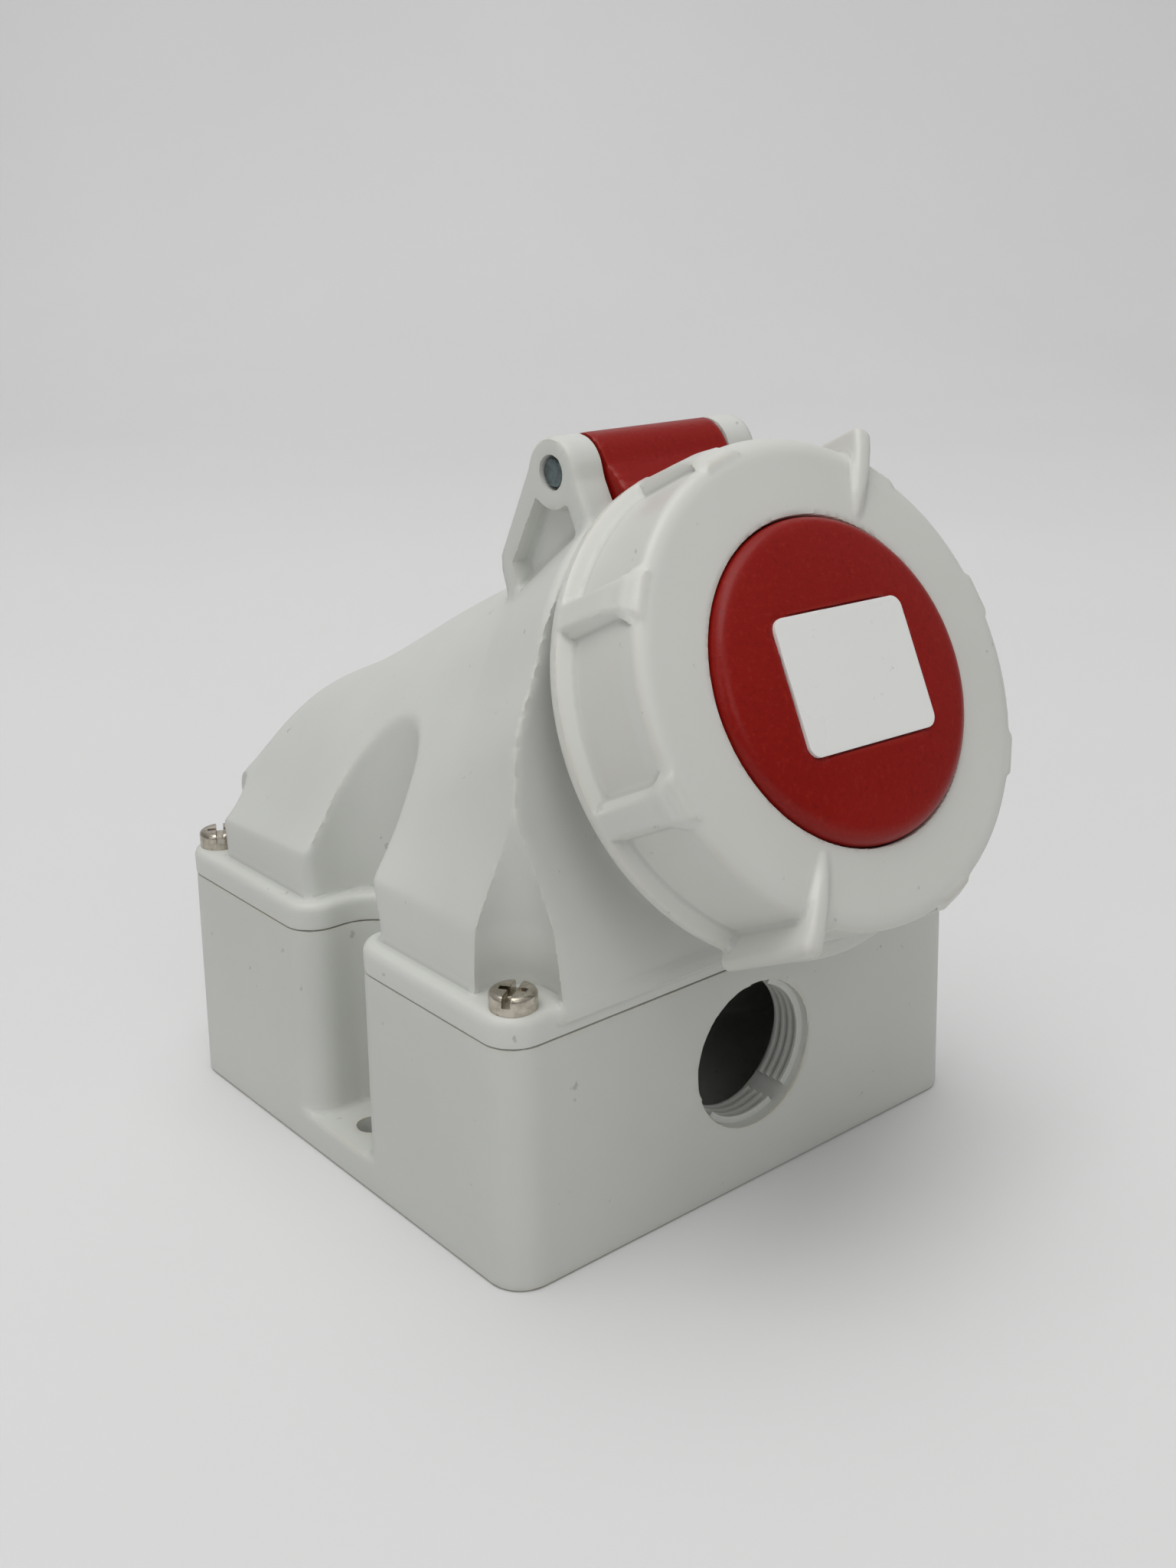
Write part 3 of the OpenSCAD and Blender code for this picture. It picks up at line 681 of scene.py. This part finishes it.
# ---------------------------------------------------------------------------
# smaller pieces
# ---------------------------------------------------------------------------
def lathe(name, profile, steps, place, body, nodes, slot, mat, start=0.0, stop=360.0, close=False):
    """Turns a profile of (radius, height) points about the z axis."""
    full = abs(stop - start) >= 359.9
    n = steps if full else steps + 1
    verts, faces = [], []
    for i in range(n):
        a = math.radians(start + (stop - start) * i / steps)
        for r, h in profile:
            verts.append((r * math.cos(a), r * math.sin(a), h))
    m = len(profile)
    rows = m if close else m - 1
    for i in range(steps):
        j = (i + 1) % n
        for k in range(rows):
            k2 = (k + 1) % m
            faces.append((i * m + k, j * m + k, j * m + k2, i * m + k2))
    if not full:
        faces.append(tuple(range(m - 1, -1, -1)))
        faces.append(tuple(steps * m + k for k in range(m)))
    return verts, faces


def add_mesh(name, verts, faces, body, nodes, mat, place=None, angle=35):
    me = bpy.data.meshes.new(name)
    vs = [tuple(c * 0.001 for c in (place @ Vector(p) if place else Vector(p))) for p in verts]
    me.from_pydata(vs, [], faces)
    me.validate()
    me.update()
    me.polygons.foreach_set("use_smooth", [True] * len(me.polygons))
    me.set_sharp_from_angle(angle=math.radians(angle))
    ob = bpy.data.objects.new(name, me)
    bpy.context.scene.collection.objects.link(ob)
    me.materials.append(mat)
    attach(ob, body)
    if nodes:
        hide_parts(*nodes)
    return ob


# thread of the cable entry: ridges with gaps, and a plain band at the mouth
verts, faces = [], []
for row, y0 in enumerate((-48.9, -47.3, -45.7, -44.1)):
    for a0, a1 in ((-48, 68), (88, 208), (226, 296)):
        prof = [(13.4, 0.62), (11.9, 0.3), (11.9, -0.15), (13.4, -0.3)]
        vs, fs = lathe("", prof, 28, None, None, None, None, None, a0, a1, close=True)
        k = len(verts)
        verts += [(x, y0 - h, 24.1 + z) for x, z, h in vs]
        faces += [tuple(k + i for i in fc) for fc in fs]
add_mesh("entry_thread", verts, faces, "housing", [], base_mat)

# cover screws: rounded cheese heads with a wide slot and a cross recess
def f_head(x, y, z):
    r = np.hypot(x, y)
    f = rmax(r - 3.75, z - 3.0, 0.9)
    f = np.maximum(f, -z)
    f = rcut(f, np.maximum(np.abs(y) - 0.65, 1.35 - z), 0.15)
    cross = np.minimum(np.maximum(np.abs(y) - 0.55, np.abs(x) - 2.2), np.maximum(np.abs(x) - 0.55, np.abs(y) - 2.2))
    cross = np.maximum(cross, 0.9 + 0.35 * r - z)
    f = rcut(f, cross, 0.12)
    shaft = np.maximum(r - 2.0, np.maximum(z - 1, -8 - z))
    return np.minimum(f, shaft)


HV, HQ, HE = contour(f_head, (-4.4, -4.4, -8.6), (4.4, 4.4, 3.6), 0.28)
allV, allQ, allE = [], [], []
for i, (sx, sy, deg) in enumerate(((-1, -1, 35), (1, -1, 110), (1, 1, 15), (-1, 1, 62))):
    c, t = math.cos(math.radians(deg)), math.sin(math.radians(deg))
    W = np.stack([HV[:, 0] * c - HV[:, 1] * t + sx * 46.2, HV[:, 0] * t + HV[:, 1] * c + sy * 45.6, HV[:, 2] + 46.5], 1)
    allQ.append(HQ + sum(len(a) for a in allV))
    allV.append(W)
    allE.append(HE)
to_object("cover_screw_heads", np.concatenate(allV), np.concatenate(allQ), np.concatenate(allE), "housing", named("cover_screws"), nickel_mat)


# hinge bolt: hexagon head with a chamfered rim
def f_bolt(x, y, z):
    dy, dz = y - PIN_Y, z - PIN_Z
    r = np.hypot(dy, dz)
    hexa = np.maximum(np.abs(dz), np.maximum(np.abs(0.5 * dz + 0.8660254 * dy), np.abs(0.5 * dz - 0.8660254 * dy))) - 2.2
    f = rmax(hexa, -(x + 19.1), 0.25)
    f = np.maximum(f, x + 17.2)
    f = rmax(f, r - 2.45 + 0.5 * np.maximum(-18.6 - x, 0), 0.1)
    return np.minimum(f, np.maximum(r - 1.47, np.abs(x + 0.9) - 17.2))


V_, Q_, E_ = contour(f_bolt, (-19.6, -27.2, 117.5), (17.2, -20.8, 123.9), 0.3)
to_object("hinge_bolt", V_, Q_, E_, "housing", named("hinge_pin"), zinc_mat)


# label: thin film with round corners
def f_label(u, v, s):
    lu, lv = turned(u, v, -1)
    return rmax(rrect(lu, lv, 13.5, 10.35, 2.0), np.abs(s - 2.1) - 0.35, 0.08)


V_, Q_, E_ = contour(f_label, (-14.6, -11.8, 1.45), (14.6, 11.8, 2.8), 0.3)
to_object("label_film", V_, Q_, E_, "lid", named("label_plate"), label_mat, from_socket)

# CAD nodes that keep their shape get these materials
KEEP = {
    "screw_inserts": brass_mat, "cover_gasket": seal_mat, "carrier_seal": seal_mat, "contact_carrier": carrier_mat, "carrier_sides": carrier_mat,
    "carrier_flange": carrier_mat, "carrier_screws": nickel_mat, "sleeve_l1": brass_mat, "sleeve_l2": brass_mat, "sleeve_l3": brass_mat,
    "sleeve_earth": brass_mat, "terminal_screws": nickel_mat, "hinge_nut": zinc_mat, "lid_seal": seal_mat}
for name, mat in KEEP.items():
    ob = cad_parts.get(name)
    if ob is None:
        continue
    for i in range(len(ob.material_slots)):
        ob.material_slots[i].material = mat
    if len(ob.material_slots) == 0:
        ob.data.materials.append(mat)

# ---------------------------------------------------------------------------
# stage and light
# ---------------------------------------------------------------------------
me = bpy.data.meshes.new("floor")
# floor that curves up into a backdrop behind the part
pts = []
dirx = Vector((-math.sin(AZ), math.cos(AZ), 0))
side = Vector((math.cos(AZ), math.sin(AZ), 0))
for i in range(0, 41):
    t = i / 40
    if t < 0.55:
        d, h = -2.2 + (t / 0.55) * 3.2, 0.0
    elif t < 0.8:
        a = (t - 0.55) / 0.25 * math.pi / 2
        d, h = 1.0 + 0.6 * math.sin(a), 0.6 * (1 - math.cos(a))
    else:
        d, h = 1.6, 0.6 + (t - 0.8) / 0.2 * 2.4
    pts.append((d, h))
vs, fs = [], []
for d, h in pts:
    for k in (-1, 1):
        p = dirx * d + side * (k * 3.0)
        vs.append((p.x, p.y, h - 0.0001))
for i in range(len(pts) - 1):
    fs.append((2 * i, 2 * i + 1, 2 * i + 3, 2 * i + 2))
me.from_pydata(vs, [], fs)
me.update()
me.polygons.foreach_set("use_smooth", [True] * len(me.polygons))
floor = bpy.data.objects.new("floor", me)
bpy.context.scene.collection.objects.link(floor)
fm, nt, bs = new_mat("floor_paper")
tc = nt.nodes.new("ShaderNodeTexCoord").outputs["Object"]
nt.links.new(ramp(nt, noise(nt, tc, 2.5, 3.0), [(0.3, (0.735, 0.735, 0.735)), (0.7, (0.76, 0.76, 0.76))]), bs.inputs["Base Color"])
bs.inputs["Roughness"].default_value = 0.75
bs.inputs["Specular IOR Level"].default_value = 0.2
me.materials.append(fm)


def area(name, loc, target, size, power, color=(1, 1, 1)):
    li = bpy.data.lights.new(name, "AREA")
    li.shape = "RECTANGLE"
    li.size, li.size_y = size
    li.energy = power
    li.color = color
    ob = bpy.data.objects.new(name, li)
    bpy.context.scene.collection.objects.link(ob)
    ob.location = loc
    ob.rotation_euler = (Vector(target) - Vector(loc)).to_track_quat("-Z", "Y").to_euler()
    return ob


area("key", (-0.5, -0.3, 1.65), (0, 0, 0.06), (1.1, 1.1), 10.0, (1.0, 0.998, 0.99))
area("fill", (-1.45, -0.35, 0.8), (0, -0.02, 0.05), (0.9, 0.9), 1.6, (1.0, 1.0, 1.0))
area("front_fill", (-0.45, -1.4, 0.95), (0, -0.02, 0.03), (0.8, 0.8), 1.9, (1.0, 1.0, 1.0))
area("backdrop_light", (0.25, 0.45, 1.9), (1.0, 1.25, 0.5), (1.6, 1.6), 11.0, (1.0, 1.0, 1.0))
world = bpy.data.worlds.new("world")
bpy.context.scene.world = world
world.use_nodes = True
bg = world.node_tree.nodes["Background"]
bg.inputs["Color"].default_value = (1.0, 1.0, 1.0, 1)
# the room is brighter overhead than round the horizon
wt = world.node_tree
sep = wt.nodes.new("ShaderNodeSeparateXYZ")
wt.links.new(wt.nodes.new("ShaderNodeTexCoord").outputs["Generated"], sep.inputs["Vector"])
wt.links.new(maprange(wt, sep.outputs["Z"], 0.05, 0.8, 0.17, 0.44), bg.inputs["Strength"])
bpy.context.scene.view_settings.view_transform = "Standard"
